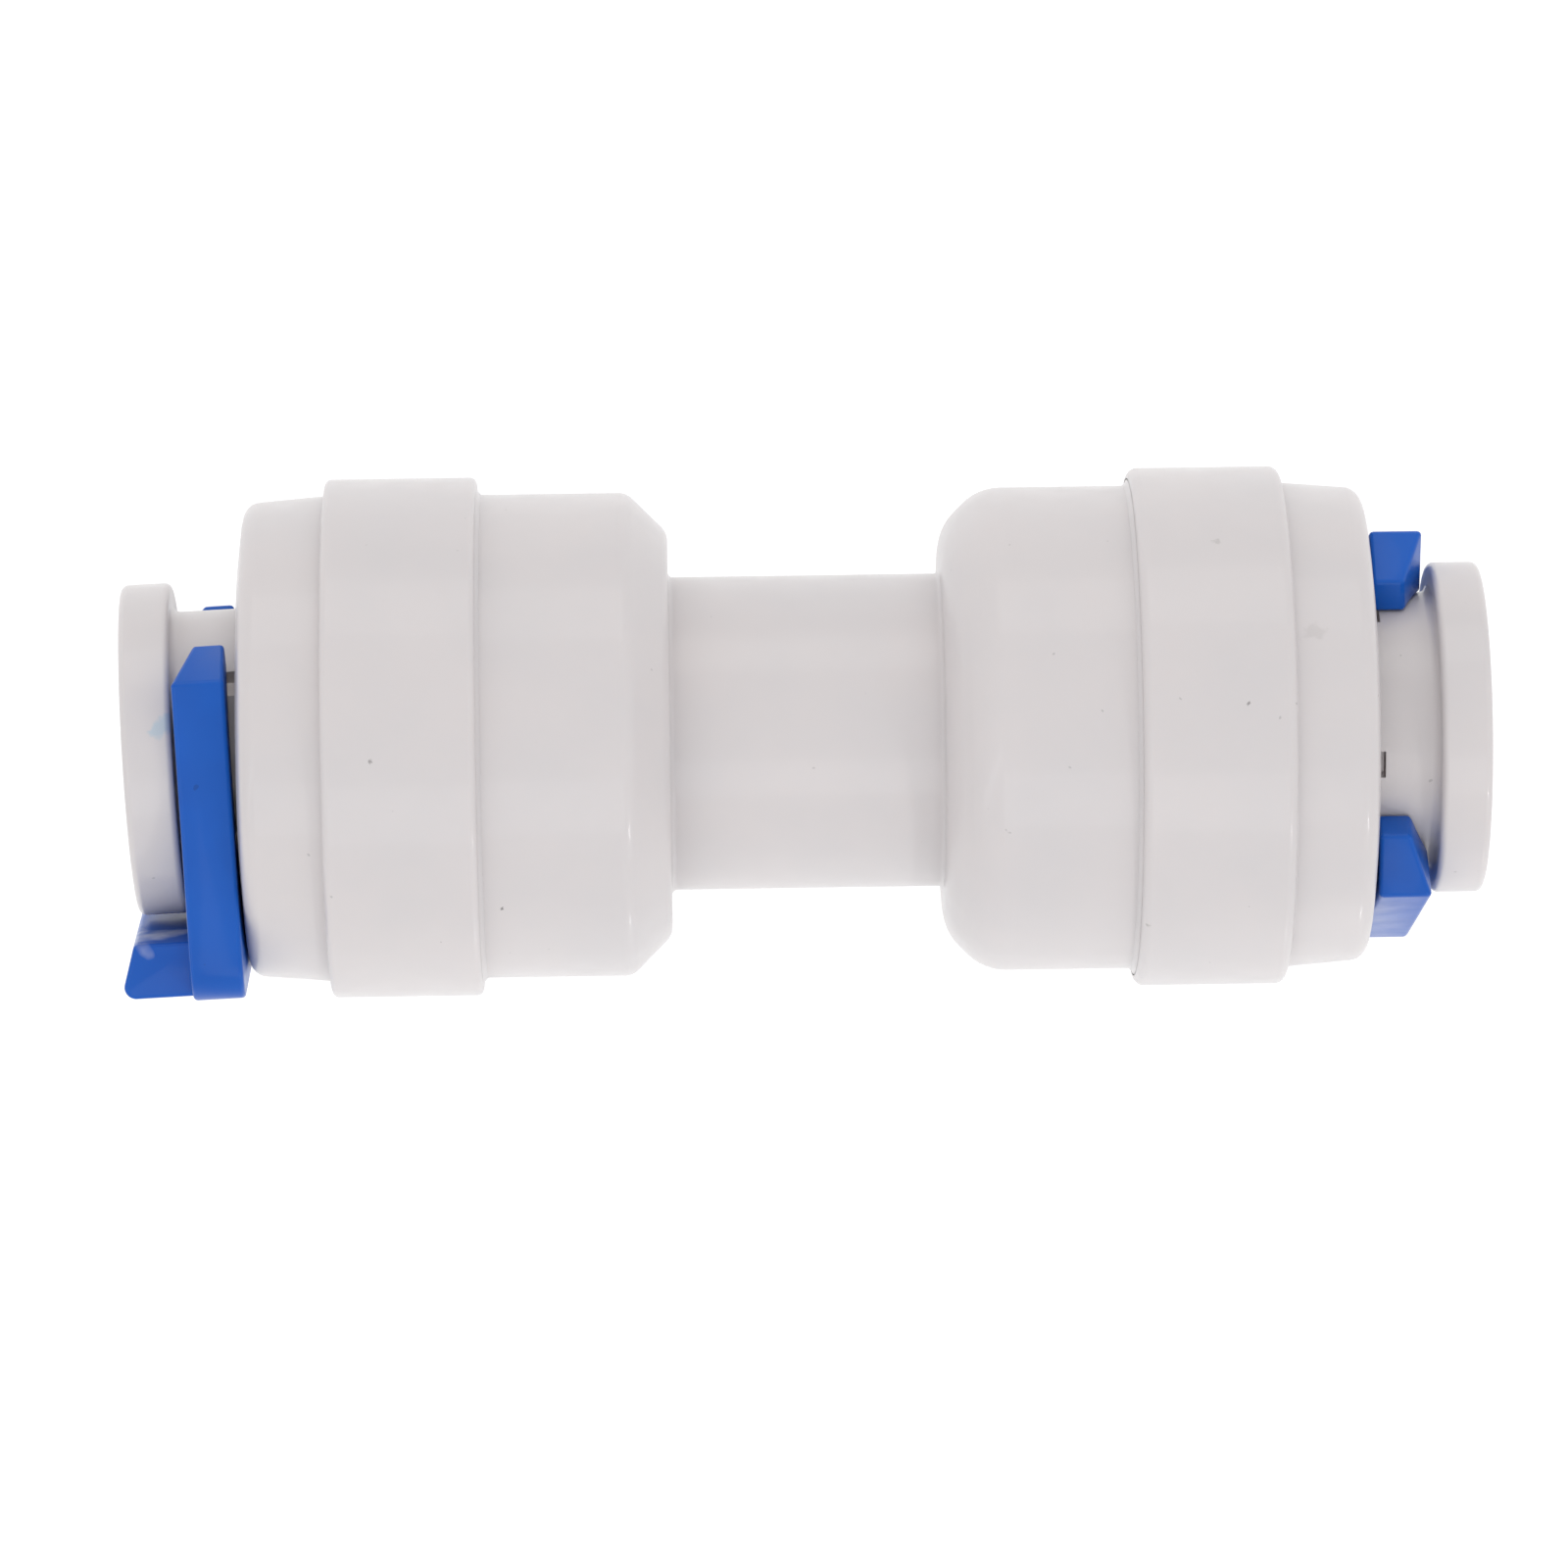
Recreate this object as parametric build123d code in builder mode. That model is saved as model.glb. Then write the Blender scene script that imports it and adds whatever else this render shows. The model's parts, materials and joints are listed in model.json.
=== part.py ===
from build123d import *

import os
from math import cos, radians, sin

# A straight push fit coupling for plastic tube of 6.35 mm (1/4 in) outside diameter.
#
# All sizes are in millimetres. +X runs along the tube axis to the right-hand end, +Z is up, and
# the origin is in the middle of the fitting, on its axis. Places along the axis are measured
# outwards from the middle, so the same values make both ends.

# ---- driving dimensions -------------------------------------------------------------------

ENDS = {"left": -1, "right": 1}  # the way each end looks along X

TUBE_R = 3.175  # outside radius of the tube that the fitting takes

# across the axis, each clearance being on the radius
SEAT_CLEARANCE = 0.045  # tube in its seat
BORE_CLEARANCE = 0.125  # tube in the collet
COLLET_WALL = 0.75
FLANGE_HEIGHT = 0.88  # collet flange over the collet's neck
HEAD_HEIGHT = 0.85  # finger heads over the collet's neck
MOUTH_CLEARANCE = 0.2  # collet neck in the cap's mouth
CAVITY_CLEARANCE = 0.25  # finger heads in the cap's cavity
NOSE_WALL = 0.7  # the cap's inner nose
WELD_CLEARANCE = 0.02  # cap on body, before the joint is welded
SPIGOT_WALL = 0.88  # the body's spigot inside the cap's skirt
SKIRT_WALL = 0.96
BARREL_STEP = 0.52  # barrel below the cap's band
FRONT_STEP = 0.49  # cap front below the cap's band
FRONT_DRAFT = 0.2  # taper of the cap front, on the radius
WATERWAY_R = 2.25
NECK_WALL = 2.42  # wall of the body's waist

# along the axis
NECK_HALF_LENGTH = 4.04
SHOULDER_CHAMFER = 1.2
SHOULDER_FILLET = {"left": 0.6, "right": 1.6}  # the moulding is rounder at the right
NECK_FILLET = 0.15
TUBE_STOP = 5.2  # where the end of the tube rests
SEAT_LENGTH = 4.4
SEAT_LEAD_IN = 0.3
SPACER_LENGTH = 1.0
NOSE_LENGTH = 0.7  # from the spacer ring to the end of the spigot
SPIGOT_LENGTH = 3.7
BAND_LENGTH = 4.5
BAND_EDGE = {"left": 0.2, "right": 0.4}  # bevelled more at the right
CAVITY_LENGTH = 0.3  # beyond the room that the collet's travel takes
CONE_LENGTH = 1.45
MOUTH_LENGTH = 0.8
FRONT_FILLET = 0.5
FRONT_DOME = 0.17  # how far the cap's flat face stands out from its rim
FRONT_SLOPE_WIDTH = 1.4  # from the rim in to the flat face
MOUTH_EDGE = 0.15

# O-ring
O_RING_SECTION = 2.0
O_RING_SQUEEZE = 0.125  # how far it stands inside the tube's radius
O_RING_SIDE_ROOM = 0.1  # along its groove
O_RING_ROOM = 0.01  # around it in its groove

# collet
FINGERS = 5
COLLET_TRAVEL = 1.5  # how far the collet is pushed in to let the tube go
COLLET_END_GAP = 0.25  # left between collet and spacer ring when it is pushed right in
FLANGE_LENGTH = 1.48
FLANGE_EDGE = 0.2
FLANGE_ROOT = 0.25
BORE_LEAD_IN = 0.35
COLLET_TURN = {"left": 28, "right": -2}  # degrees from +Y towards +Z of the first finger
SLOT_WIDTH = 0.8
SLOT_TO_FLANGE = 1.61
HEAD_CLEARANCE = 0.2  # finger heads to the cap's cone, along the radius

# gripping teeth
TOOTH_BITE = 0.075  # how far a tooth stands inside the tube's radius
TOOTH_LENGTH = 1.0
TOOTH_WIDTH = 1.6
TOOTH_THICKNESS = 0.25
TOOTH_TILT = 25  # degrees that its edge leans in towards the middle of the fitting
TOOTH_SETBACK = 0.35  # from the collet's inner end to the tooth's edge

# locking clip
CLIP_THICKNESS = 1.55
CLIP_CAP_GAP = 0.06
CLIP_PLAY = 0.28  # between clip and collet flange
CLIP_NECK_CLEARANCE = 0.05
CLIP_HOLE_REACH = 0.3  # how far the hole runs on from the axis towards the clip's back
CLIP_MOUTH_ANGLE = 47.9  # degrees from the way it opens to each arm's tip
CLIP_ARM_WIDTH = 1.4  # the narrowest part of each arm
CLIP_TIP_RISE = 0.75  # from the inner corner of a tip to its ridge
CLIP_SHOULDER_DROP = 0.85  # from the ridge down to the straight side
CLIP_TIP_SLOPE = 20.5  # degrees that each tip falls away from the clip's outer face
CLIP_TIP_TURN = 37  # degrees, towards the axis, of the way it falls
CLIP_CORNER = 1.2
TAB_FLANGE_GAP = 0.42
TAB_THICKNESS = 1.65
TAB_HALF_WIDTH = 3.8
TAB_SHORTFALL = 0.06  # tab short of the flange's outer face, at its inner edge
TAB_FLARE = 0.49  # how much further its outer edge reaches
TAB_EDGE = 0.35
CLIP_OPENING = {"left": 80, "right": 9}  # degrees from +Z towards +Y of the way it opens

# ---- sizes that follow ---------------------------------------------------------------------

seat_r = TUBE_R + SEAT_CLEARANCE
bore_r = TUBE_R + BORE_CLEARANCE
neck_r = bore_r + COLLET_WALL
flange_r = neck_r + FLANGE_HEIGHT
head_r = neck_r + HEAD_HEIGHT
mouth_r = neck_r + MOUTH_CLEARANCE
cavity_r = head_r + CAVITY_CLEARANCE
nose_r = cavity_r + NOSE_WALL
counterbore_r = nose_r + WELD_CLEARANCE
spigot_r = counterbore_r + SPIGOT_WALL
skirt_r = spigot_r + WELD_CLEARANCE
band_r = skirt_r + SKIRT_WALL
barrel_r = band_r - BARREL_STEP
front_r = band_r - FRONT_STEP
front_rim_r = front_r - FRONT_DRAFT
waist_r = WATERWAY_R + NECK_WALL
o_ring_r = TUBE_R - O_RING_SQUEEZE + O_RING_SECTION / 2
groove_r = o_ring_r + O_RING_SECTION / 2 + O_RING_ROOM

seat_end = TUBE_STOP + SEAT_LENGTH
groove_end = seat_end + O_RING_SECTION + O_RING_SIDE_ROOM
spacer_end = groove_end + SPACER_LENGTH
spigot_end = spacer_end + NOSE_LENGTH
barrel_end = spigot_end - SPIGOT_LENGTH
band_end = barrel_end + BAND_LENGTH
cone_start = spacer_end + COLLET_TRAVEL + CAVITY_LENGTH
cone_end = cone_start + CONE_LENGTH
cap_front = cone_end + MOUTH_LENGTH
clip_start = cap_front + CLIP_CAP_GAP
clip_end = clip_start + CLIP_THICKNESS
flange_start = clip_end + CLIP_PLAY
flange_end = flange_start + FLANGE_LENGTH
collet_start = spacer_end + COLLET_END_GAP + COLLET_TRAVEL
slot_end = flange_start - SLOT_TO_FLANGE

clip_r = neck_r + CLIP_NECK_CLEARANCE
clip_half_width = clip_r + CLIP_ARM_WIDTH
tip_x = clip_r * sin(radians(CLIP_MOUTH_ANGLE))
tip_y = clip_r * cos(radians(CLIP_MOUTH_ANGLE))
ridge_y = tip_y + CLIP_TIP_RISE
shoulder_y = ridge_y - CLIP_SHOULDER_DROP
tab_inside = flange_r + TAB_FLANGE_GAP
clip_back = tab_inside + TAB_THICKNESS


# ---- helpers -------------------------------------------------------------------------------


def axial_plane(outward):
    """The plane through the axis whose x runs outwards and whose y is the radius."""
    return Plane(origin=(0, 0, 0), x_dir=(outward, 0, 0), z_dir=(0, 0, outward))


def radial_plane(outward, angle, distance):
    """A plane on the axis whose x runs outwards and whose z is the radius at an angle from +Y."""
    up = (0, cos(radians(angle)), sin(radians(angle)))
    return Plane(origin=(outward * distance, 0, 0), x_dir=(outward, 0, 0), z_dir=up)


def tooth_plane(outward, angle):
    """The plane of one tooth: x runs from its edge to its root, and z is its thickness."""
    lean, rise = sin(radians(TOOTH_TILT)), cos(radians(TOOTH_TILT))
    across, up = cos(radians(angle)), sin(radians(angle))
    edge_r = TUBE_R - TOOTH_BITE + lean * TOOTH_THICKNESS / 2
    return Plane(
        origin=(outward * (collet_start + TOOTH_SETBACK), edge_r * across, edge_r * up),
        x_dir=(outward * lean, rise * across, rise * up),
        z_dir=(outward * rise, -lean * across, -lean * up),
    )


def clip_plane(outward, opening, distance):
    """A plane square to the axis whose z runs outwards and whose y is the way the clip opens."""
    up = Vector(0, sin(radians(opening)), cos(radians(opening)))
    out = Vector(outward, 0, 0)
    return Plane(origin=(outward * distance, 0, 0), x_dir=up.cross(out), z_dir=out)


def tip_plane(side):
    """The slope of one arm's tip, as it lies on the clip's outer face."""
    turn, slope = radians(CLIP_TIP_TURN), radians(CLIP_TIP_SLOPE)
    return Plane(
        origin=(side * clip_half_width, shoulder_y, 0),
        x_dir=(cos(turn), side * sin(turn), 0),
        z_dir=(-side * sin(turn) * sin(slope), cos(turn) * sin(slope), cos(slope)),
    )


def rims(*places):
    """The round edges of the part being made, on either end, at each (distance, radius)."""
    return [
        edge
        for edge in edges().filter_by(GeomType.CIRCLE)
        for distance, radius in places
        if abs(abs(edge.center().X) - distance) < 1e-4 and abs(edge.radius - radius) < 1e-4
    ]


def tooth_box(mode=Mode.ADD):
    """One tooth's blade at the current location: it also makes the pocket it is moulded in."""
    Box(
        TOOTH_LENGTH,
        TOOTH_WIDTH,
        TOOTH_THICKNESS,
        align=(Align.MIN, Align.CENTER, Align.CENTER),
        mode=mode,
    )


def finish(piece, name):
    """Name a finished piece and write it."""
    piece.part.label = name
    export_step(piece.part, f"parts/{name}.step")


os.makedirs("parts", exist_ok=True)

# ---- the body, which both ends share -------------------------------------------------------

with BuildPart() as coupling_body:
    with BuildSketch(Plane.XY):
        with BuildLine():
            Polyline(
                (0, WATERWAY_R),
                (TUBE_STOP, WATERWAY_R),
                (TUBE_STOP, seat_r),
                (seat_end, seat_r),
                (seat_end, groove_r),
                (groove_end, groove_r),
                (groove_end, counterbore_r),
                (spigot_end, counterbore_r),
                (spigot_end, spigot_r),
                (barrel_end, spigot_r),
                (barrel_end, barrel_r),
                (NECK_HALF_LENGTH + SHOULDER_CHAMFER, barrel_r),
                (NECK_HALF_LENGTH, barrel_r - SHOULDER_CHAMFER),
                (NECK_HALF_LENGTH, waist_r),
                (0, waist_r),
                close=True,
            )
        make_face()
        mirror(about=Plane.YZ)
    revolve(axis=Axis.X)
    for end, outward in ENDS.items():
        shoulder = rims(
            (NECK_HALF_LENGTH + SHOULDER_CHAMFER, barrel_r),
            (NECK_HALF_LENGTH, barrel_r - SHOULDER_CHAMFER),
        )
        fillet(
            [edge for edge in shoulder if edge.center().X * outward > 0],
            radius=SHOULDER_FILLET[end],
        )
    fillet(rims((NECK_HALF_LENGTH, waist_r)), radius=NECK_FILLET)
    chamfer(rims((seat_end, seat_r)), length=SEAT_LEAD_IN)
finish(coupling_body, "coupling_body")

# ---- the pieces of each end ----------------------------------------------------------------

for end, outward in ENDS.items():
    profile_plane = axial_plane(outward)

    with BuildPart() as end_cap:
        with BuildSketch(profile_plane):
            with BuildLine():
                Polyline(
                    (spacer_end, cavity_r),
                    (cone_start, cavity_r),
                    (cone_end, mouth_r),
                    (cap_front, mouth_r),
                    (cap_front, front_rim_r - FRONT_SLOPE_WIDTH),
                    (cap_front - FRONT_DOME, front_rim_r),
                    (band_end, front_r),
                    (band_end, band_r),
                    (barrel_end, band_r),
                    (barrel_end, skirt_r),
                    (spigot_end, skirt_r),
                    (spigot_end, nose_r),
                    (spacer_end, nose_r),
                    close=True,
                )
            make_face()
        revolve(axis=Axis.X)
        fillet(rims((cap_front - FRONT_DOME, front_rim_r)), radius=FRONT_FILLET)
        chamfer(rims((band_end, band_r), (barrel_end, band_r)), length=BAND_EDGE[end])
        fillet(rims((cap_front, mouth_r)), radius=MOUTH_EDGE)
    finish(end_cap, f"{end}_end_cap")

    with BuildPart() as o_ring:
        with BuildSketch(profile_plane):
            with Locations(((seat_end + groove_end) / 2, o_ring_r)):
                Circle(O_RING_SECTION / 2)
        revolve(axis=Axis.X)
    finish(o_ring, f"{end}_o_ring")

    with BuildPart() as spacer_ring:
        with BuildSketch(profile_plane):
            with BuildLine():
                Polyline(
                    (groove_end, bore_r),
                    (spacer_end, bore_r),
                    (spacer_end, nose_r),
                    (groove_end, nose_r),
                    close=True,
                )
            make_face()
        revolve(axis=Axis.X)
        chamfer(rims((spacer_end, bore_r)), length=SEAT_LEAD_IN)
    finish(spacer_ring, f"{end}_spacer_ring")

    # the finger heads' slope runs inside the cap's cone and parallel to it
    cone_fall = (cavity_r - mouth_r) / CONE_LENGTH
    head_slope_start = cone_start + (cavity_r - HEAD_CLEARANCE - head_r) / cone_fall
    head_slope_end = cone_start + (cavity_r - HEAD_CLEARANCE - neck_r) / cone_fall
    finger_angles = [COLLET_TURN[end] + 360 / FINGERS * finger for finger in range(FINGERS)]
    with BuildPart() as collet:
        with BuildSketch(profile_plane):
            with BuildLine():
                Polyline(
                    (collet_start, bore_r),
                    (flange_end, bore_r),
                    (flange_end, flange_r),
                    (flange_start, flange_r),
                    (flange_start, neck_r),
                    (head_slope_end, neck_r),
                    (head_slope_start, head_r),
                    (collet_start, head_r),
                    close=True,
                )
            make_face()
        revolve(axis=Axis.X)
        chamfer(rims((flange_end, bore_r)), length=BORE_LEAD_IN)
        fillet(rims((flange_end, flange_r), (flange_start, flange_r)), radius=FLANGE_EDGE)
        fillet(rims((flange_start, neck_r)), radius=FLANGE_ROOT)
        for angle in finger_angles:
            with Locations(radial_plane(outward, angle + 180 / FINGERS, collet_start)):
                Box(
                    slot_end - collet_start,
                    SLOT_WIDTH,
                    head_r * 2,
                    align=(Align.MIN, Align.CENTER, Align.MIN),
                    mode=Mode.SUBTRACT,
                )
            with Locations(tooth_plane(outward, angle)):
                tooth_box(mode=Mode.SUBTRACT)
    finish(collet, f"{end}_collet")

    for number, angle in enumerate(finger_angles, start=1):
        with BuildPart() as tooth:
            with Locations(tooth_plane(outward, angle)):
                tooth_box()
        finish(tooth, f"{end}_collet_tooth_{number}")

    # the clip: across its opening is x, the way it opens is y
    opening = CLIP_OPENING[end]
    with BuildPart() as locking_clip:
        with BuildSketch(clip_plane(outward, opening, clip_start)):
            with BuildLine():
                Polyline(
                    (0, -clip_back),
                    (clip_half_width, -clip_back),
                    (clip_half_width, shoulder_y),
                    (tip_x + CLIP_TIP_RISE, ridge_y),
                    (tip_x, tip_y),
                    (0, tip_y),
                    close=True,
                )
            make_face()
            mirror(about=Plane.YZ)
            with Locations((0, 0), (0, -CLIP_HOLE_REACH)):
                Circle(clip_r, mode=Mode.SUBTRACT)
            fillet(vertices().group_by(Axis.Y)[0], radius=CLIP_CORNER)
        extrude(amount=CLIP_THICKNESS)
        side_plane = Plane(
            origin=(0, 0, 0),
            x_dir=(outward, 0, 0),
            z_dir=Vector(outward, 0, 0).cross(
                Vector(0, sin(radians(opening)), cos(radians(opening)))
            ),
        )
        with BuildSketch(side_plane):
            with BuildLine():
                Polyline(
                    (clip_start, -tab_inside),
                    (flange_end - TAB_SHORTFALL, -tab_inside),
                    (flange_end - TAB_SHORTFALL + TAB_FLARE, -clip_back),
                    (clip_start, -clip_back),
                    close=True,
                )
            make_face()
            fillet(vertices().sort_by(Axis.X)[-1], radius=TAB_EDGE)
        extrude(amount=TAB_HALF_WIDTH, both=True)
        outer_face = clip_plane(outward, opening, clip_end).location
        for side in (-1, 1):
            with Locations(outer_face * tip_plane(side).location):
                Box(
                    clip_half_width,
                    clip_half_width,
                    CLIP_THICKNESS,
                    align=(Align.CENTER, Align.CENTER, Align.MIN),
                    mode=Mode.SUBTRACT,
                )
    finish(locking_clip, f"{end}_locking_clip")
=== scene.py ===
import json
import math

import bmesh
import bpy
from mathutils import Matrix, Vector


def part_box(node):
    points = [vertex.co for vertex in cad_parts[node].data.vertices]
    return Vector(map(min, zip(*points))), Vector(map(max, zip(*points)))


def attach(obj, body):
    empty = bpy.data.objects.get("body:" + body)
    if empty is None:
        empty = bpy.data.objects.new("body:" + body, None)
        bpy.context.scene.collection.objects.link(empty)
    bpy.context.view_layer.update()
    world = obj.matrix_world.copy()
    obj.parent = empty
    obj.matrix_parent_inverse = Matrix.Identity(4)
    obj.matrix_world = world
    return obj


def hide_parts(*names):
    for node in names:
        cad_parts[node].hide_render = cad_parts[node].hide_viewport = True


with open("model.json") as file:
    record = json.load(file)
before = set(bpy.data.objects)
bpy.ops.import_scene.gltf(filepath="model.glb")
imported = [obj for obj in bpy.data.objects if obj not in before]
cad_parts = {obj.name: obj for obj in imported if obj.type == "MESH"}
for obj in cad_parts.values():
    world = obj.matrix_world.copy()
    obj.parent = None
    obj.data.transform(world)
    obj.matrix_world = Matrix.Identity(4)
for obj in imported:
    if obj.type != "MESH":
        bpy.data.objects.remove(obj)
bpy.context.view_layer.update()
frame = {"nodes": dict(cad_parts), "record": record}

# The looks of a straight push fit coupling: turned white acetal body, caps and collets, moulded
# blue locking clips, rubber seals and steel teeth. Blender works in metres; sizes here are in
# millimetres and are turned into metres where a mesh is made.

MM = 0.001
ENDS = {"left": -1, "right": 1}  # the way each end looks along X

# ---- sizes read from the frame -------------------------------------------------------------


def span(node):
    """How far out along the axis a right-hand node starts and ends, and its radius."""
    low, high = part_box(node)
    return low.x / MM, high.x / MM, high.y / MM


mounts = {mount["name"]: mount for mount in frame["record"]["mounts"]}
socket = mounts["right_tube_socket"]
seat_r = socket["dims"]["r_mm"]
seat_middle = socket["pos_m"][0] / MM
seat_half_length = socket["dims"]["length_mm"] / 2
tube_stop = seat_middle - seat_half_length
seat_wall_end = seat_middle + seat_half_length

barrel_end, cap_front, band_r = span("right_end_cap")
groove_end, spacer_end, nose_r = span("right_spacer_ring")
collet_start, flange_end, flange_r = span("right_collet")
o_ring_outer_r = span("right_o_ring")[2]
spigot_end, barrel_r = span("coupling_body")[1:]

# ---- sizes that the boxes do not give ------------------------------------------------------

WATERWAY_R = 2.25
WAIST_R = 4.67
WAIST_HALF_LENGTH = 4.04
NECK_ROUNDING = 0.15  # where the waist meets a barrel
SHOULDER = 1.2
SHOULDER_ROUNDING = {"left": 0.6, "right": 1.6}
GROOVE_CLEARANCE = 0.01
GROOVE_R = o_ring_outer_r + GROOVE_CLEARANCE
SEAT_END = 9.6
NOSE_CLEARANCE = 0.02
COUNTERBORE_R = nose_r + NOSE_CLEARANCE
SPIGOT_R = 6.75
SKIRT_R = 6.77
BAND_END = 14.2
FRONT_R = 7.24
FRONT_RIM_R = 7.04
FRONT_FLAT_R = 5.64
FRONT_DOME = 0.17
FRONT_ROUNDING = {"rim": 0.5, "flat": 2.0}
CAVITY_R = 5.15
CAVITY_END = 14.5
CONE_END = 15.95
MOUTH_R = 4.25
MOUTH_ROUNDING = 0.15
COLLET_BORE_R = 3.3
COLLET_NECK_R = 4.05
HEAD_R = 4.9
HEAD_SLOPE_START = 14.58
HEAD_SLOPE_END = 15.95
FLANGE_START = 18.64
FLANGE_ROOT = 0.25
FLANGE_ROUNDING = 0.2
BORE_LEAD_IN = 0.35
FINGERS = 5
SLOT_WIDTH = 0.8
SLOT_END = 17.03
SLOT_RUN_OUT = 1  # how far the cut starts inside the collet's inner end
COLLET_TURN = {"left": 28, "right": -2}  # degrees of the first finger, from +Y towards +Z

# the loose pieces rest a little askew: degrees about Z, pivot along X, shift along X and Y
LEAN = {
    "left_collet_shell": (2.4, -17.6, 0.0, -0.16),
    "left_clip_shell": (2.5, -17.6, -0.16, 0.0),
    "right_collet_shell": (0.0, 0.0, 0.0, -0.14),
    "right_clip_shell": (0.0, 0.0, 0.0, -0.14),
}

SHARP = 0.06  # rounding of the crispest moulded edges
BUTTED = 0.01  # rounding of an edge that butts against the next piece
BAND_ROUNDING = {"left": 0.2, "right": 0.3}
LIP = 0.15  # the weld's lip, where the band meets the barrel
LIP_DEPTH = 0.02  # how far the lip is melted into the barrel
HOLD = 0.04  # a ring this far from each rounding keeps the flats flat
HOLD_SHARE = 0.1  # of a side, the most that its ring may stand in
ARC_STEPS = 6
RING_STEPS = 240
CREASE_ANGLE = math.radians(40)  # an edge that turns by more stays crisp
MERGE_DISTANCE = 0.001  # points nearer than this become one
CLIP_BEVEL = 0.13
CLIP_BEVEL_STEPS = 3
CLIP_BEVEL_ANGLE = math.radians(25)
CLIP_FLAT_ANGLE = math.radians(1)  # faces that turn by less are one flat

# ---- small helpers -------------------------------------------------------------------------


def rounded(corners):
    """The closed outline through (along, radius, rounding) corners, each rounded by an arc."""
    outline = []
    count = len(corners)
    for index, (along, radius, rounding) in enumerate(corners):
        corner = Vector((along, radius))
        before = Vector(corners[index - 1][:2]) - corner
        after = Vector(corners[(index + 1) % count][:2]) - corner
        half = before.angle(after) / 2
        reach = rounding / math.tan(half)
        start = corner + before.normalized() * reach
        end = corner + after.normalized() * reach
        middle = corner + (before.normalized() + after.normalized()).normalized() * (
            rounding / math.sin(half)
        )
        outline.append(start + before.normalized() * min(HOLD, before.length * HOLD_SHARE))
        for step in range(ARC_STEPS + 1):
            turn = (start - middle).lerp(end - middle, step / ARC_STEPS)
            outline.append(middle + turn.normalized() * rounding)
        outline.append(end + after.normalized() * min(HOLD, after.length * HOLD_SHARE))
    return outline


def new_object(name, mesh):
    """A new object for a mesh, linked to the scene."""
    piece = bpy.data.objects.new(name, mesh)
    bpy.context.scene.collection.objects.link(piece)
    return piece


def settled(piece):
    """The same piece with its modifiers worked into a plain mesh."""
    evaluated = piece.evaluated_get(bpy.context.evaluated_depsgraph_get())
    mesh = bpy.data.meshes.new_from_object(evaluated)
    mesh.name = piece.name
    piece.modifiers.clear()
    piece.data = mesh
    return piece


def lean(piece):
    """Set a loose piece askew in its clearances, as it comes to rest."""
    turn, pivot, outward_shift, drop = LEAN[piece.name]
    there = Matrix.Translation(Vector((pivot + outward_shift, drop, 0)) * MM)
    back = Matrix.Translation(Vector((-pivot, 0, 0)) * MM)
    piece.data.transform(there @ Matrix.Rotation(math.radians(turn), 4, "Z") @ back)
    return piece


def finish_piece(piece, body, slot, *nodes):
    """A finished piece rides on its body and stands for its CAD nodes."""
    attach(piece, body)
    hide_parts(*nodes)


class Tree:
    """A node tree being built: nodes are added and linked by name."""

    def __init__(self, tree):
        self.tree = tree

    def add(self, kind, inputs=None, **settings):
        """A new node; inputs maps a socket's name or number to a value or to another socket."""
        node = self.tree.nodes.new(kind)
        for key, value in settings.items():
            setattr(node, key, value)
        for key, value in (inputs or {}).items():
            self.put(node.inputs[key], value)
        return node

    def put(self, socket, value):
        """Feed a socket from another socket or with a value."""
        if isinstance(value, bpy.types.NodeSocket):
            self.tree.links.new(value, socket)
        else:
            socket.default_value = value

    def math(self, operation, *values):
        """The result of a Math node."""
        return self.add("ShaderNodeMath", dict(enumerate(values)), operation=operation).outputs[0]


# ---- geometry trees ------------------------------------------------------------------------


def geometry_tree(name, **inputs):
    """An empty geometry tree with a geometry input and output and named sizes."""
    tree = bpy.data.node_groups.new(name, "GeometryNodeTree")
    face = tree.interface
    face.new_socket("Geometry", in_out="INPUT", socket_type="NodeSocketGeometry")
    for label, kind in inputs.items():
        face.new_socket(label.replace("_", " "), in_out="INPUT", socket_type=f"NodeSocket{kind}")
    face.new_socket("Geometry", in_out="OUTPUT", socket_type="NodeSocketGeometry")
    build = Tree(tree)
    return build, build.add("NodeGroupInput").outputs


def close_tree(build, geometry, material):
    """End a geometry tree: instances are made real and the material is set."""
    real = build.add("GeometryNodeRealizeInstances", {0: geometry})
    coloured = build.add("GeometryNodeSetMaterial", {"Geometry": real.outputs[0], "Material": material})
    build.add("NodeGroupOutput", {0: coloured.outputs[0]})
    return build.tree


def crisp(build, geometry, angle):
    """Shade smooth, but keep the edges that turn by more than an angle crisp."""
    smooth = build.add("GeometryNodeSetShadeSmooth", {"Geometry": geometry})
    turn = build.add("GeometryNodeInputMeshEdgeAngle").outputs["Unsigned Angle"]
    return build.add(
        "GeometryNodeSetShadeSmooth",
        {
            "Geometry": smooth.outputs[0],
            "Selection": build.math("GREATER_THAN", turn, angle),
            "Shade Smooth": False,
        },
        domain="EDGE",
    ).outputs[0]


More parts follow.
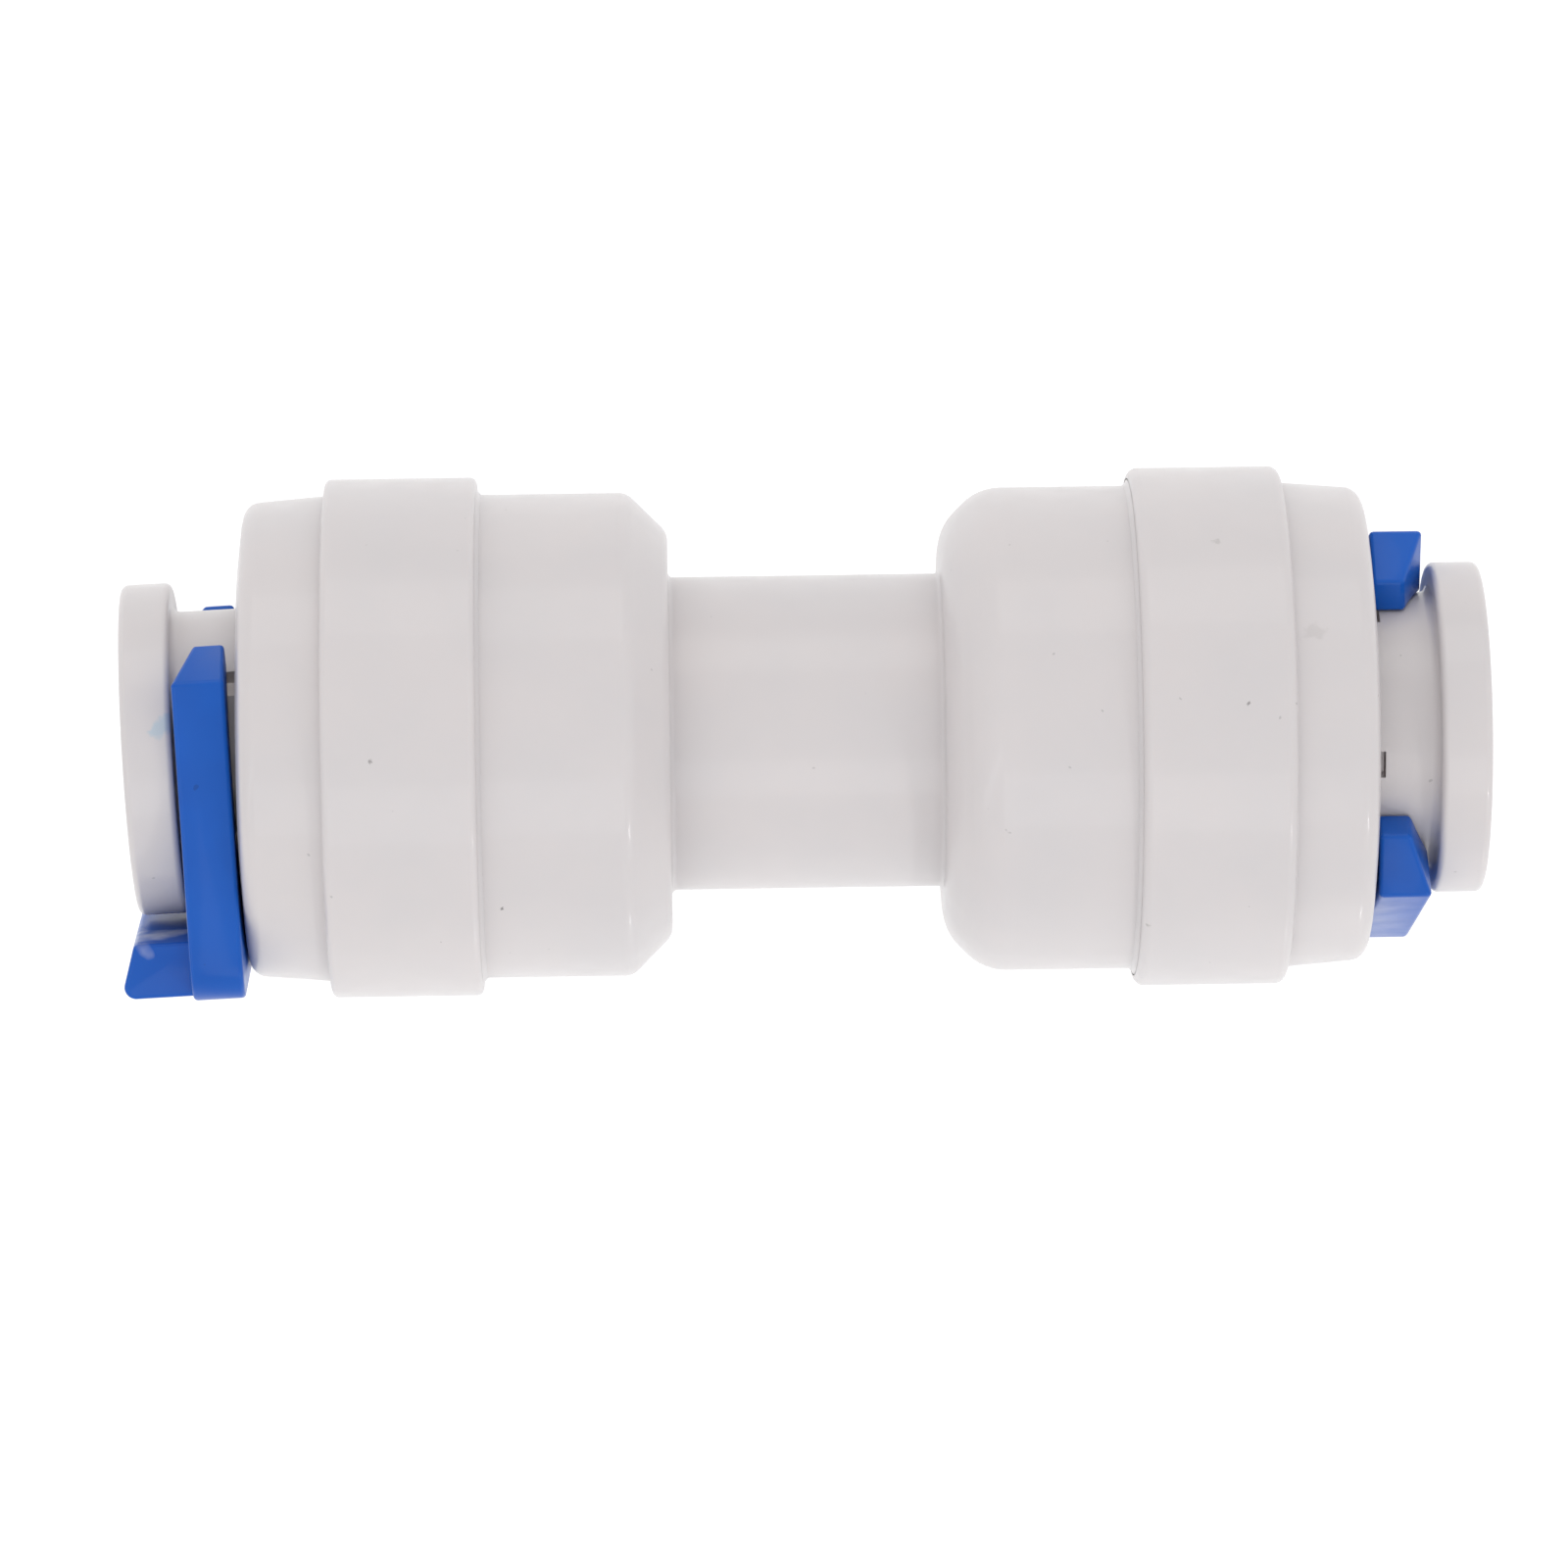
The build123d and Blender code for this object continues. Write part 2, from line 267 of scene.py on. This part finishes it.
def turning_tree():
    """Turns a flat closed outline about the X axis into a ring."""
    build, given = geometry_tree("turned_on_the_axis", Steps="Int", Material="Material")
    points = build.add("GeometryNodeAttributeDomainSize", {0: given["Geometry"]}).outputs["Point Count"]
    around = build.math("ADD", given["Steps"], 1)
    grid = build.add(
        "GeometryNodeMeshGrid",
        {"Vertices X": build.math("ADD", points, 1), "Vertices Y": around},
    )
    index = build.add("GeometryNodeInputIndex").outputs[0]
    place = build.math("MODULO", build.math("FLOOR", build.math("DIVIDE", index, around)), points)
    share = build.math("DIVIDE", build.math("MODULO", index, around), given["Steps"])
    outline_point = build.add(
        "GeometryNodeSampleIndex",
        {
            "Geometry": given["Geometry"],
            "Value": build.add("GeometryNodeInputPosition").outputs[0],
            "Index": place,
        },
        data_type="FLOAT_VECTOR",
        domain="POINT",
    )
    turned = build.add(
        "ShaderNodeVectorRotate",
        {
            "Vector": outline_point.outputs[0],
            "Angle": build.math("MULTIPLY", share, math.tau),
        },
        rotation_type="X_AXIS",
    )
    placed = build.add(
        "GeometryNodeSetPosition",
        {"Geometry": grid.outputs["Mesh"], "Position": turned.outputs[0]},
    )
    closed = build.add(
        "GeometryNodeMergeByDistance",
        {"Geometry": placed.outputs[0], "Distance": MERGE_DISTANCE * MM},
    )
    return close_tree(build, crisp(build, closed.outputs[0], CREASE_ANGLE), given["Material"])


def slotting_tree():
    """Cuts evenly spaced slots into a ring about the X axis, from one end."""
    build, given = geometry_tree(
        "slots_between_fingers",
        Count="Int",
        Slot_size="Vector",
        Slot_middle="Vector",
        First_angle="Float",
        Material="Material",
    )
    cutter = build.add("GeometryNodeMeshCube", {"Size": given["Slot size"]})
    placed = build.add(
        "GeometryNodeTransform", {"Geometry": cutter.outputs["Mesh"], "Translation": given["Slot middle"]}
    )
    spots = build.add("GeometryNodePoints", {"Count": given["Count"]})
    index = build.add("GeometryNodeInputIndex").outputs[0]
    turn = build.math("MULTIPLY", build.math("DIVIDE", index, given["Count"]), math.tau)
    rotation = build.add("ShaderNodeCombineXYZ", {"X": build.math("ADD", turn, given["First angle"])})
    cutters = build.add(
        "GeometryNodeInstanceOnPoints",
        {"Points": spots.outputs[0], "Instance": placed.outputs[0], "Rotation": rotation.outputs[0]},
    )
    real = build.add("GeometryNodeRealizeInstances", {0: cutters.outputs[0]})
    cut = build.add(
        "GeometryNodeMeshBoolean",
        {"Mesh 1": given["Geometry"], "Mesh 2": real.outputs[0]},
        operation="DIFFERENCE",
        solver="EXACT",
    )
    return close_tree(build, crisp(build, cut.outputs["Mesh"], CREASE_ANGLE), given["Material"])


def apply_tree(piece, tree, **values):
    """Run a geometry tree on a piece and keep the result as its mesh."""
    modifier = piece.modifiers.new(tree.name, "NODES")
    modifier.node_group = tree
    sockets = {
        item.name: item.identifier
        for item in tree.interface.items_tree
        if item.item_type == "SOCKET" and item.in_out == "INPUT"
    }
    for label, value in values.items():
        modifier[sockets[label.replace("_", " ")]] = value
    return settled(piece)


# ---- materials -----------------------------------------------------------------------------

# noise scales are in features per metre; ranges are the part of the noise that is spread out
CLOUD_SCALE = 260.0
CLOUD_RANGE = (0.35, 0.65)
SKIN_SCALE = 900.0
SKIN_RANGE = (0.3, 0.7)
SMOOTHER_BY = 0.05  # where the skin is shiniest
ROUGHER_BY = 0.07  # where it is dullest
SINK_SCALE = 420.0
SINK_DEPTH = 0.03
SINK_STRENGTH = 0.07
GRAIN_SCALE = 14000.0
GRAIN_DEPTH = 0.006
GRAIN_STRENGTH = 0.10
DUST_SCALE = 3100.0
DUST_RANGE = (0.80, 0.82)
DUST_STRENGTH = 0.35
DUST_SHADE = 0.35  # of the plastic's own colour
SPOT_CORE = 0.55  # of a mark's radius, fully stained
SPOT_WAVER = 1.3  # how ragged a mark's edge is
ACETAL_IOR = 1.48
COAT_ROUGHNESS = 0.09
GLOW_THROUGH = 0.12
GLOW_COLOUR = (1.0, 0.85, 0.75)
GLOW_DEPTH = 0.5
COAT_SHARE = 0.75  # of the shine that lies in the smooth outer skin
WHITE = (0.618, 0.583, 0.585, 1)
WHITE_SHADE = (0.596, 0.568, 0.574, 1)
BLUE = (0.001, 0.094, 0.47, 1)
BLUE_SHADE = (0.001, 0.080, 0.41, 1)
DIRT = (0.30, 0.28, 0.27, 1)
SOOT = (0.10, 0.09, 0.09, 1)
# a white speck on the clip, and a painted reflection of the pale floor on the clip's lower end
SCUFF_AND_FLOOR_SHEEN = (0.42, 0.46, 0.60, 1)
# painted light: the tint of blue light from the clip falling on the white flange beside it
PAINTED_CLIP_BLUE = (0.20, 0.45, 0.60, 1)

WHITE_MARKS = (  # centre and radius in millimetres, strength, colour of stains or of painted light
    ((-12.74, -0.73, 7.7), 0.07, 0.5, SOOT),
    ((-9.04, -5.06, 5.1), 0.07, 0.8, SOOT),
    ((12.02, 5.34, 5.6), 0.14, 0.3, DIRT),
    ((14.69, 2.66, 6.6), 0.35, 0.16, DIRT),
    ((16.27, 1.46, 6.5), 0.10, 0.5, DIRT),
    ((12.73, 0.58, 7.7), 0.07, 0.6, SOOT),
    ((9.87, -5.87, 5.0), 0.08, 0.6, DIRT),
    # painted light, not a stain: blue light from the left clip, on the left collet's flange
    ((-18.85, 0.45, 4.9), 0.40, 0.35, PAINTED_CLIP_BLUE),
)

BLUE_MARKS = (
    # painted reflection: the lower end of the left clip lightened to lavender, as if lit from the pale
    # floor beneath
    ((-20.4, -4.6, 1.2), 2.00, 0.95, SCUFF_AND_FLOOR_SHEEN),
    ((-18.55, -0.30, 5.5), 0.06, 0.7, SCUFF_AND_FLOOR_SHEEN),
)

RUBBER_DARK = (0.012, 0.012, 0.013, 1)
RUBBER_LIGHT = (0.03, 0.03, 0.031, 1)
RUBBER_ROUGHNESS = (0.42, 0.58)
RUBBER_GRAIN_SCALE = 9000.0
RUBBER_GRAIN_DEPTH = 0.01
RUBBER_GRAIN_STRENGTH = 0.15

STEEL_DARK = (0.50, 0.50, 0.51, 1)
STEEL_LIGHT = (0.68, 0.68, 0.69, 1)
STEEL_ROUGHNESS = (0.22, 0.4)
STEEL_LINE_SCALE = 16000.0
STEEL_LINE_STRETCH = (0.12, 1.0, 1.0)
STEEL_LINE_DEPTH = 0.003
STEEL_LINE_STRENGTH = 0.2


def material_tree(name):
    """A new material: its tree, its shader node and its object coordinates."""
    material = bpy.data.materials.new(name)
    material.use_nodes = True
    material.node_tree.nodes.clear()
    build = Tree(material.node_tree)
    shader = build.add("ShaderNodeBsdfPrincipled")
    build.add("ShaderNodeOutputMaterial", {"Surface": shader.outputs[0]})
    place = build.add("ShaderNodeTexCoord").outputs["Object"]
    return material, build, shader, place


def noise(build, place, scale, detail=2.0, roughness=0.5):
    """A noise pattern's value, with features about 1/scale metres across."""
    return build.add(
        "ShaderNodeTexNoise",
        {"Vector": place, "Scale": scale, "Detail": detail, "Roughness": roughness},
    ).outputs[0]


def remap(build, value, low, high, to_low, to_high):
    """A value's range low to high, brought to another range and kept inside it."""
    return build.add(
        "ShaderNodeMapRange",
        {0: value, 1: low, 2: high, 3: to_low, 4: to_high},
    ).outputs[0]


def mix_colour(build, share, first, second):
    """Two colours mixed by a share."""
    return build.add(
        "ShaderNodeMix", {0: share, 6: first, 7: second}, data_type="RGBA"
    ).outputs[2]


def bump(build, height, strength, distance, under=None):
    """A bump from a height pattern, over an earlier bump."""
    inputs = {"Height": height, "Strength": strength, "Distance": distance}
    if under is not None:
        inputs["Normal"] = under
    return build.add("ShaderNodeBump", inputs).outputs[0]


def spot(build, place, centre, radius):
    """A ragged round spot about a point: 1 inside and 0 outside, sizes in millimetres."""
    away = build.add(
        "ShaderNodeVectorMath",
        {0: place, 1: tuple(value * MM for value in centre)},
        operation="DISTANCE",
    ).outputs["Value"]
    ragged = noise(build, place, scale=1 / (radius * MM), detail=3.0)
    edge = build.math("MULTIPLY", build.math("SUBTRACT", ragged, 0.5), 2 * SPOT_WAVER * radius * MM)
    reach = build.math("ADD", away, edge)
    return remap(build, reach, radius * MM * SPOT_CORE, radius * MM, 1.0, 0.0)


def acetal(name, colour, shade, roughness, shine, marks):
    """Moulded acetal: faint cloudiness, a fine skin texture, dust specks, handling marks and spots of
    painted light.
    """
    material, build, shader, place = material_tree(name)
    cloud = remap(build, noise(build, place, CLOUD_SCALE, detail=3.0), *CLOUD_RANGE, 0.0, 1.0)
    body_colour = mix_colour(build, cloud, colour, shade)
    dust_colour = tuple(channel * DUST_SHADE for channel in shade[:3]) + (1,)
    specks = noise(build, place, DUST_SCALE, detail=1.0)
    dust = remap(build, specks, *DUST_RANGE, 0.0, DUST_STRENGTH)
    body_colour = mix_colour(build, dust, body_colour, dust_colour)
    # some marks are stains or specks, some are painted light
    for centre, radius, strength, stain_or_light in marks:
        share = build.math("MULTIPLY", spot(build, place, centre, radius), strength)
        body_colour = mix_colour(build, share, body_colour, stain_or_light)
    build.put(shader.inputs["Base Color"], body_colour)
    skin = noise(build, place, SKIN_SCALE, detail=4.0)
    smoothest, roughest = roughness - SMOOTHER_BY, roughness + ROUGHER_BY
    build.put(shader.inputs["Roughness"], remap(build, skin, *SKIN_RANGE, smoothest, roughest))
    hollows = noise(build, place, SINK_SCALE, detail=1.0)
    sink = bump(build, hollows, SINK_STRENGTH, SINK_DEPTH * MM)
    fine = noise(build, place, GRAIN_SCALE, detail=2.0)
    grain = bump(build, fine, GRAIN_STRENGTH, GRAIN_DEPTH * MM, sink)
    build.put(shader.inputs["Normal"], grain)
    shader.inputs["IOR"].default_value = ACETAL_IOR
    shader.inputs["Specular IOR Level"].default_value = shine
    shader.inputs["Coat Weight"].default_value = shine * COAT_SHARE
    shader.inputs["Coat Roughness"].default_value = COAT_ROUGHNESS
    shader.inputs["Subsurface Weight"].default_value = GLOW_THROUGH
    shader.inputs["Subsurface Radius"].default_value = GLOW_COLOUR
    shader.inputs["Subsurface Scale"].default_value = GLOW_DEPTH * MM
    return material


def rubber():
    """Black nitrile rubber with a dull, slightly dusty skin."""
    material, build, shader, place = material_tree("seal_rubber")
    cloud = remap(build, noise(build, place, SKIN_SCALE, detail=3.0), *CLOUD_RANGE, 0.0, 1.0)
    build.put(shader.inputs["Base Color"], mix_colour(build, cloud, RUBBER_DARK, RUBBER_LIGHT))
    build.put(shader.inputs["Roughness"], remap(build, cloud, 0.0, 1.0, *RUBBER_ROUGHNESS))
    fine = noise(build, place, RUBBER_GRAIN_SCALE)
    grain = bump(build, fine, RUBBER_GRAIN_STRENGTH, RUBBER_GRAIN_DEPTH * MM)
    build.put(shader.inputs["Normal"], grain)
    return material


def tooth_steel():
    """Stamped stainless steel, drawn fine along the blade."""
    material, build, shader, place = material_tree("tooth_steel")
    stretched = build.add(
        "ShaderNodeMapping", {"Vector": place, "Scale": STEEL_LINE_STRETCH}
    ).outputs[0]
    lines = noise(build, stretched, STEEL_LINE_SCALE)
    build.put(shader.inputs["Base Color"], mix_colour(build, lines, STEEL_DARK, STEEL_LIGHT))
    build.put(shader.inputs["Roughness"], remap(build, lines, *SKIN_RANGE, *STEEL_ROUGHNESS))
    build.put(shader.inputs["Normal"], bump(build, lines, STEEL_LINE_STRENGTH, STEEL_LINE_DEPTH * MM))
    shader.inputs["Metallic"].default_value = 1.0
    return material


white = acetal("white_acetal", WHITE, WHITE_SHADE, roughness=0.36, shine=0.4, marks=WHITE_MARKS)
blue = acetal("blue_acetal", BLUE, BLUE_SHADE, roughness=0.34, shine=0.22, marks=BLUE_MARKS)
black_rubber = rubber()
steel = tooth_steel()

# ---- the turned white pieces ---------------------------------------------------------------

turn_on_axis = turning_tree()
cut_slots = slotting_tree()


def turned(name, corners, material, outward=1):
    """A ring turned about the axis from its outline's corners."""
    mesh = bpy.data.meshes.new(name)
    outline = rounded(corners)
    if outward < 0:
        outline = [Vector((-point.x, point.y)) for point in reversed(outline)]
    points = [(point.x * MM, point.y * MM, 0) for point in outline]
    sides = [(index, (index + 1) % len(points)) for index in range(len(points))]
    mesh.from_pydata(points, sides, [])
    piece = new_object(name, mesh)
    return apply_tree(piece, turn_on_axis, Steps=RING_STEPS, Material=material)


def half_body(end):
    """The corners of one half of the body, from the waist out and back in along the bore."""
    return [
        (WAIST_HALF_LENGTH, WAIST_R, NECK_ROUNDING),
        (WAIST_HALF_LENGTH, barrel_r - SHOULDER, SHOULDER_ROUNDING[end]),
        (WAIST_HALF_LENGTH + SHOULDER, barrel_r, SHOULDER_ROUNDING[end]),
        (barrel_end, barrel_r, BUTTED),
        (barrel_end, SPIGOT_R, SHARP),
        (spigot_end, SPIGOT_R, SHARP),
        (spigot_end, COUNTERBORE_R, SHARP),
        (groove_end, COUNTERBORE_R, SHARP),
        (groove_end, GROOVE_R, SHARP),
        (SEAT_END, GROOVE_R, SHARP),
        (SEAT_END, seat_r + SEAT_END - seat_wall_end, SHARP),
        (seat_wall_end, seat_r, SHARP),
        (tube_stop, seat_r, SHARP),
        (tube_stop, WATERWAY_R, SHARP),
    ]


left_half = [(-along, radius, rounding) for along, radius, rounding in reversed(half_body("left"))]
body = turned("coupling_body_shell", half_body("right") + left_half, white)
finish_piece(body, "housing", "white_plastic", "coupling_body")


def cap_corners(end):
    """The corners of an end cap, out over its band and back in along its cavity."""
    return [
        (spacer_end, CAVITY_R, SHARP),
        (spacer_end, nose_r, SHARP),
        (spigot_end, nose_r, SHARP),
        (spigot_end, SKIRT_R, SHARP),
        (barrel_end, SKIRT_R, BUTTED),
        (barrel_end, barrel_r - LIP_DEPTH, BUTTED),
        (barrel_end - LIP, barrel_r - LIP_DEPTH, BUTTED),
        (barrel_end, barrel_r + LIP, LIP / 2),
        (barrel_end, band_r, BAND_ROUNDING[end]),
        (BAND_END, band_r, BAND_ROUNDING[end]),
        (BAND_END, FRONT_R, SHARP),
        (cap_front - FRONT_DOME, FRONT_RIM_R, FRONT_ROUNDING["rim"]),
        (cap_front, FRONT_FLAT_R, FRONT_ROUNDING["flat"]),
        (cap_front, MOUTH_R, MOUTH_ROUNDING),
        (CONE_END, MOUTH_R, SHARP),
        (CAVITY_END, CAVITY_R, SHARP),
    ]


collet_corners = [
    (collet_start, COLLET_BORE_R, SHARP),
    (collet_start, HEAD_R, SHARP),
    (HEAD_SLOPE_START, HEAD_R, SHARP),
    (HEAD_SLOPE_END, COLLET_NECK_R, SHARP),
    (FLANGE_START, COLLET_NECK_R, FLANGE_ROOT),
    (FLANGE_START, flange_r, FLANGE_ROUNDING),
    (flange_end, flange_r, FLANGE_ROUNDING),
    (flange_end, COLLET_BORE_R + BORE_LEAD_IN, SHARP),
    (flange_end - BORE_LEAD_IN, COLLET_BORE_R, SHARP),
]

for end, outward in ENDS.items():
    cap = turned(f"{end}_cap_shell", cap_corners(end), white, outward)
    finish_piece(cap, "housing", "white_plastic", f"{end}_end_cap")

    collet = turned(f"{end}_collet_shell", collet_corners, white, outward)
    slot_start = collet_start - SLOT_RUN_OUT
    collet = apply_tree(
        collet,
        cut_slots,
        Count=FINGERS,
        Slot_size=((SLOT_END - slot_start) * MM, 2 * HEAD_R * MM, SLOT_WIDTH * MM),
        Slot_middle=(outward * (SLOT_END + slot_start) / 2 * MM, HEAD_R * MM, 0),
        First_angle=math.radians(COLLET_TURN[end]) + math.pi / FINGERS,
        Material=white,
    )
    finish_piece(lean(collet), f"{end}_collet_body", "white_plastic", f"{end}_collet")

# ---- the blue clips ------------------------------------------------------------------------


def moulded_clip(end):
    """The clip's shape from the frame, with every moulded edge eased."""
    mesh = bpy.data.meshes.new(f"{end}_clip_shell")
    bm = bmesh.new()
    bm.from_mesh(frame["nodes"][f"{end}_locking_clip"].data)
    bmesh.ops.remove_doubles(bm, verts=bm.verts, dist=MERGE_DISTANCE * MM)
    bmesh.ops.dissolve_limit(
        bm,
        angle_limit=CLIP_FLAT_ANGLE,
        verts=bm.verts,
        edges=bm.edges,
        use_dissolve_boundaries=False,
    )
    bmesh.ops.recalc_face_normals(bm, faces=bm.faces)
    for face in bm.faces:
        face.smooth = True
    bm.to_mesh(mesh)
    bm.free()
    mesh.materials.clear()
    mesh.materials.append(blue)
    clip = new_object(f"{end}_clip_shell", mesh)
    bevel = clip.modifiers.new("eased_edges", "BEVEL")
    bevel.width = CLIP_BEVEL * MM
    bevel.segments = CLIP_BEVEL_STEPS
    bevel.limit_method = "ANGLE"
    bevel.angle_limit = CLIP_BEVEL_ANGLE
    bevel.harden_normals = True
    return settled(clip)


for end in ENDS:
    clip = lean(moulded_clip(end))
    finish_piece(clip, f"{end}_clip_body", "blue_plastic", f"{end}_locking_clip")

# ---- the inner pieces, whose CAD shapes stay -----------------------------------------------


def refinish(node, material):
    """Give a CAD node a new material and leave its shape alone."""
    piece = frame["nodes"][node]
    piece.data.materials.clear()
    piece.data.materials.append(material)


for end in ENDS:
    refinish(f"{end}_o_ring", black_rubber)
    refinish(f"{end}_spacer_ring", white)
    for number in range(1, FINGERS + 1):
        refinish(f"{end}_collet_tooth_{number}", steel)

# ---- floor, light and camera ---------------------------------------------------------------

FLOOR_DEPTH = 52
FLOOR_SIZE = 6000
FLOOR_COLOURS = ((0.90, 0.90, 0.90, 1), (0.92, 0.92, 0.92, 1))
FLOOR_CLOUD_SCALE = 2.0
FLOOR_ROUGHNESS = 0.9
FLOOR_GLOW = 0.14

TENT_STRENGTH = 0.95
WARM = (1.0, 0.97, 0.94)
COOL = (0.96, 0.98, 1.0)
NEUTRAL = (1, 1, 1)
LIGHTS = (  # name, direction from the fitting, distance, two sides, power in watts, colour
    ("upper_light", (0.0, 0.85, 0.5), 400, (260, 200), 0.15, WARM),
    ("lower_fill", (0.0, -0.55, 0.8), 350, (200, 160), 0.10, COOL),
    ("right_gleam", (0.6, -0.65, 0.46), 300, (14, 40), 0.06, NEUTRAL),
    ("low_gleam", (0.35, -0.9, -0.25), 150, (10, 20), 0.005, NEUTRAL),
    ("left_gleam", (-0.6, -0.35, 0.7), 300, (30, 260), 0.035, NEUTRAL),
)

SENSOR_WIDTH = 36
LENS = 195.94
CAMERA_PLACE = (-0.6325, -1.564, 255)  # right, up and away, seen along the camera's own axes
CAMERA_YAW = math.radians(-0.825)
CAMERA_ROLL = math.radians(-0.85)
CLOSEST_SEEN = 0.01  # metres
FURTHEST_SEEN = 50  # metres


def pale_floor():
    """A plain pale floor, well below the fitting."""
    material, build, shader, place = material_tree("pale_floor")
    shade = noise(build, place, FLOOR_CLOUD_SCALE)
    build.put(shader.inputs["Base Color"], mix_colour(build, shade, *FLOOR_COLOURS))
    shader.inputs["Roughness"].default_value = FLOOR_ROUGHNESS
    shader.inputs["Emission Color"].default_value = (1, 1, 1, 1)
    shader.inputs["Emission Strength"].default_value = FLOOR_GLOW
    mesh = bpy.data.meshes.new("floor")
    half = FLOOR_SIZE / 2 * MM
    corners = [(-half, -half), (half, -half), (half, half), (-half, half)]
    mesh.from_pydata([(x, y, -FLOOR_DEPTH * MM) for x, y in corners], [], [(0, 1, 2, 3)])
    mesh.materials.append(material)
    new_object("floor", mesh)


def softbox(name, toward, distance, size, power, colour):
    """An area light that looks at the fitting."""
    lamp = bpy.data.lights.new(name, "AREA")
    lamp.shape = "RECTANGLE"
    lamp.size, lamp.size_y = (side * MM for side in size)
    lamp.energy = power
    lamp.color = colour
    light = bpy.data.objects.new(name, lamp)
    bpy.context.scene.collection.objects.link(light)
    away = Vector(toward).normalized()
    light.location = away * distance * MM
    light.rotation_euler = away.to_track_quat("Z", "Y").to_euler()


def studio():
    """An even white tent with weak lights that draw the edges."""
    world = bpy.data.worlds.new("tent")
    world.use_nodes = True
    background = world.node_tree.nodes["Background"]
    background.inputs["Color"].default_value = (1, 1, 1, 1)
    background.inputs["Strength"].default_value = TENT_STRENGTH
    bpy.context.scene.world = world
    for settings in LIGHTS:
        softbox(*settings)


def camera_above():
    """The camera looks straight down on the fitting's side, turned by a trace."""
    data = bpy.data.cameras.new("camera")
    data.sensor_width = SENSOR_WIDTH
    data.lens = LENS
    data.clip_start = CLOSEST_SEEN
    data.clip_end = FURTHEST_SEEN
    camera = bpy.data.objects.new("camera", data)
    bpy.context.scene.collection.objects.link(camera)
    yaw = Matrix.Rotation(CAMERA_YAW, 4, "Y")
    roll = Matrix.Rotation(CAMERA_ROLL, 4, "Z")
    place = Matrix.Translation(Vector(CAMERA_PLACE) * MM)
    camera.matrix_world = yaw @ roll @ place
    bpy.context.scene.camera = camera


pale_floor()
studio()
camera_above()
bpy.context.scene.view_settings.view_transform = "Standard"
